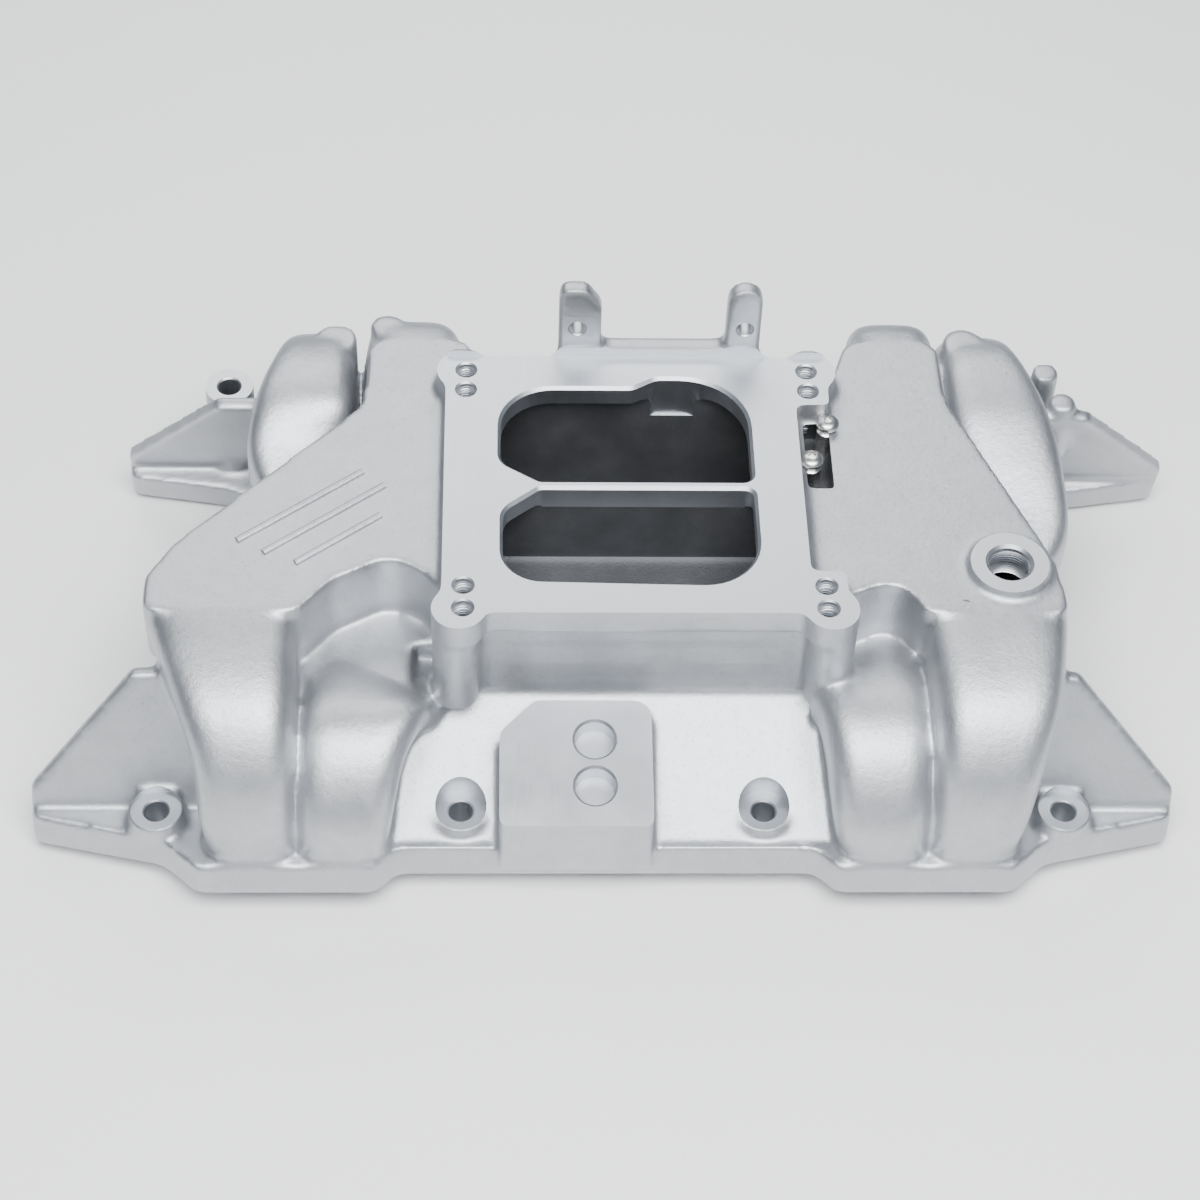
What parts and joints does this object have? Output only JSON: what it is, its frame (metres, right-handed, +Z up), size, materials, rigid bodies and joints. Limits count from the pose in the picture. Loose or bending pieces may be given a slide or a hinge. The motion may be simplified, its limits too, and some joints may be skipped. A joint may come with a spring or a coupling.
{
  "type": "intake manifold",
  "caption": "Cast V-engine intake manifold: raised carburettor pad over a split plenum, curved runners down to two tilted head flanges, with webs, bosses and bracket.",
  "frame": {"origin": "centre of the bounding box's bottom, level with the inner lower rims of the two head flanges", "axes": "+X along the engine from the casting's front to its rear, +Y from the near bank to the far bank, +Z up through the carburettor pad"},
  "size_m": [0.487, 0.2654, 0.146],
  "materials": {
    "casting": "sand-cast, bead-blasted",
    "machined_face": "sand-cast with milled faces",
    "bright_turned": "bright turned"
  },
  "bodies": {
    "root": {"carb_flange": "machined_face", "plenum_case": "casting", "plane_divider": "casting", "upper_floor": "casting", "trunk_floor_front": "casting", "trunk_wall_front": "casting", "trunk_roof_front": "casting", "trunk_floor_rear": "casting", "trunk_wall_rear": "casting", "trunk_roof_rear": "casting", "runner_near_outer_front": "casting", "runner_near_inner_front": "casting", "runner_near_inner_rear": "casting", "runner_near_outer_rear": "casting", "runner_far_outer_front": "casting", "runner_far_inner_front": "casting", "runner_far_inner_rear": "casting", "runner_far_outer_rear": "casting", "head_flange_near": "machined_face", "head_flange_far": "machined_face", "end_web_near_front": "casting", "end_web_near_rear": "casting", "end_web_far_front": "casting", "end_web_far_rear": "casting", "heat_crossover": "casting", "apron_near": "casting", "apron_far": "casting", "choke_pad": "machined_face", "pad_columns": "casting", "vacuum_boss": "machined_face", "coil_post": "casting", "linkage_bracket": "casting", "stay_boss_front": "casting", "stay_bosses_rear": "casting", "roof_bosses": "casting", "vacuum_nipples": "bright_turned", "datum_lugs": "casting", "roof_ribs": "casting"}
  },
  "joints": []
}
